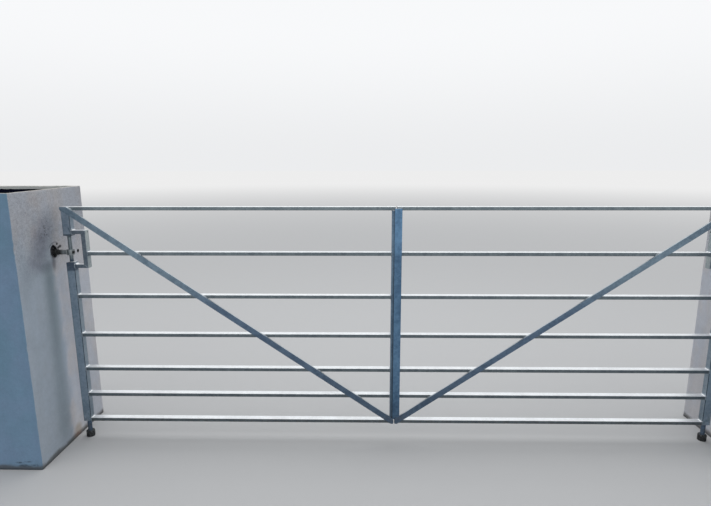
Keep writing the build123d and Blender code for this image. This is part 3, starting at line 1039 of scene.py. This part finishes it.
def pocket_outline():
    """Outline of the hole round the shank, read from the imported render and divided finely.

    Beyond the shank the hole has been made good, close round the shank, and its end towards the
    viewer is drawn in.
    """
    pieces = 5
    snug = SHANK_RADIUS + 0.003
    loose_end = -0.032
    made_good_over = 0.022
    drawn_in = 0.005
    corners = {(round(point.y, 5), round(point.z, 5)) for point in face_points(HINGE_Y, HINGE_Z, 0.1)}
    corners = sorted(corners, key=lambda c: math.atan2(c[1] - HINGE_Z, c[0] - HINGE_Y))
    outline = []
    for first, second in zip(corners, corners[1:] + corners[:1]):
        outline += [Vector(first).lerp(Vector(second), i / pieces) for i in range(pieces)]
    axis = Vector((HINGE_Y, HINGE_Z))
    for i, point in enumerate(outline):
        away = point - axis
        made_good = min(1.0, max(0.0, (away.x - loose_end) / made_good_over))
        outline[i] = axis + away.lerp(away.normalized() * snug, made_good)
        outline[i].x += drawn_in * max(0.0, -away.x - 0.04) / 0.03
    return outline


def pocket_cutter(hand):
    """Broken hole through the render, wider at the surface."""
    face = RENDER.near
    rings = [(face - 0.004, 1.02, 0.08), (face + 0.0015, 1.0, 0.10), (face + 0.006, 0.97, 0.11),
             (face + 0.013, 0.96, 0.10), (face + COAT_INSET + 0.002, 0.95, 0.08)]
    return ragged_prism("pocket_cutter", pocket_outline(), rings, hand, 5.0 + hand)


def stray_hole_cutter(hand):
    """Drilled hole, chipped at its mouth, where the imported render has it."""
    face = RENDER.near
    spots = face_points(HINGE_Y + DRILL_ACROSS, HINGE_Z - DRILL_DROP, 0.05)
    y = sum(spot.y for spot in spots) / len(spots)
    z = sum(spot.z for spot in spots) / len(spots)
    outline = [Vector((y + DRILL_RADIUS * math.cos(a), z + DRILL_RADIUS * math.sin(a))) for a in circle(20)]
    rings = [(face - 0.004, 1.35, 0.25), (face + 0.001, 1.2, 0.2), (face + 0.003, 1.0, 0.05),
             (face + 0.015, 0.96, 0.02)]
    return ragged_prism("stray_hole_cutter", outline, rings, hand, 9.0)


def stones(side, hand):
    """Broken lumps of mortar left in the hole round the shank."""
    rng = random.Random(31 + hand)
    bm = bmesh.new()
    for across, up, size in ((-0.052, 0.012, 0.013), (-0.038, -0.014, 0.010), (-0.034, 0.030, 0.011),
                             (-0.058, -0.006, 0.008), (0.019, 0.024, 0.008), (-0.026, 0.006, 0.007)):
        ball = bmesh.ops.create_icosphere(bm, subdivisions=3, radius=size)
        shift = Vector((rng.uniform(0, 50), 0, 0))
        place = Vector((RENDER.near + COAT_INSET - size * 0.35, HINGE_Y + across, HINGE_Z + up))
        for vert in ball["verts"]:
            vert.co *= 1 + 0.28 * wobble(*(vert.co * 90 + shift)) + 0.1 * wobble(*(vert.co * 300))
            vert.co.x *= 0.7
            vert.co += place
    # the lumps take the blockwork's near-black, painted shade of the hole
    piece(f"{side}_mortar_lumps", bm, hand, "piers", "block")


def core_bed(side, hand):
    """Uneven bed of mortar and crumbs on top of the blockwork, inside the rim."""
    steps = 56
    margin = 0.002
    skirt_depth = 0.004
    bm = bmesh.new()
    grid = []
    for i in range(steps + 1):
        row = []
        for j in range(steps + 1):
            x = CORE.near + margin + (CORE.far - CORE.near - 2 * margin) * i / steps
            y = CORE.front + margin + (CORE.back - CORE.front - 2 * margin) * j / steps
            height = 0.0015 + 0.0013 * wobble(x * 9, y * 9, hand) + 0.0012 * wobble(x * 40, y * 40, 2)
            crumbs = 0.005 * max(0.0, wobble(x * 75, y * 75, 5 + hand) - 0.35)
            row.append(bm.verts.new((x, y, CORE.top + max(height + crumbs, 0.0004))))
        grid.append(row)
    for i in range(steps):
        for j in range(steps):
            bm.faces.new((grid[i][j], grid[i + 1][j], grid[i + 1][j + 1], grid[i][j + 1]))
    edge = grid[0] + [row[-1] for row in grid[1:]] + grid[-1][-2::-1] + [row[0] for row in grid[-2:0:-1]]
    low = [bm.verts.new((vert.co.x, vert.co.y, CORE.top - skirt_depth)) for vert in edge]
    strip(bm, edge, low)
    bm.faces.new(low)
    # the bed takes the blockwork's near-black, painted shade of the pier's open top
    piece(f"{side}_core_bed", bm, hand, "piers", "block")


# Hinges

def shank_thread(side, hand):
    """Thread on the shank where it comes out of the nut, running out at both ends."""
    per_turn = 28
    start = NUT.near - 0.0012
    bm = bmesh.new()
    rows = []
    for i in range(THREAD_TURNS * per_turn + 1):
        angle = 2 * math.pi * i / per_turn
        x = start - THREAD_PITCH * i / per_turn
        fade = min(1.0, i / per_turn, (THREAD_TURNS * per_turn - i) / per_turn)
        row = []
        for step, height in ((-THREAD_HALF_WIDTH, -THREAD_DEPTH), (0.0, THREAD_DEPTH * fade),
                             (THREAD_HALF_WIDTH, -THREAD_DEPTH)):
            radius = SHANK_RADIUS + height
            y = HINGE_Y + radius * math.cos(angle)
            z = HINGE_Z + radius * math.sin(angle)
            row.append(bm.verts.new((x + step, y, z)))
        rows.append(row)
    skin(bm, rows)
    piece(f"{side}_shank_thread", bm, hand, "piers", "hinge")


def eye_weld(side, hand):
    """Bead where the shank joins the eye, just inside the eye's round side."""
    eye_width = EYE.back - EYE.front
    place = Vector((EYE.near + eye_width - 0.0015, HINGE_Y, HINGE_Z))
    bm = bmesh.new()
    bead_round_bar(bm, place, Vector((1, 0, 0)), SHANK_RADIUS, 60.0 + hand)
    piece(f"{side}_eye_weld", bm, hand, "piers", "hinge")


bpy.context.scene.view_settings.view_transform = "Standard"
camera()
surround()
floor()
lamp()
dress_nodes()
for side, hand in SIDES.items():
    frame_welds(side, hand)
    brace_welds(side, hand)
    softened(f"{side}_brace", f"{side}_leaf", "bar")
    pier_coat(side, hand)
    stones(side, hand)
    core_bed(side, hand)
    shank_thread(side, hand)
    eye_weld(side, hand)
softened("right_stop_bar", "right_leaf", "stop")
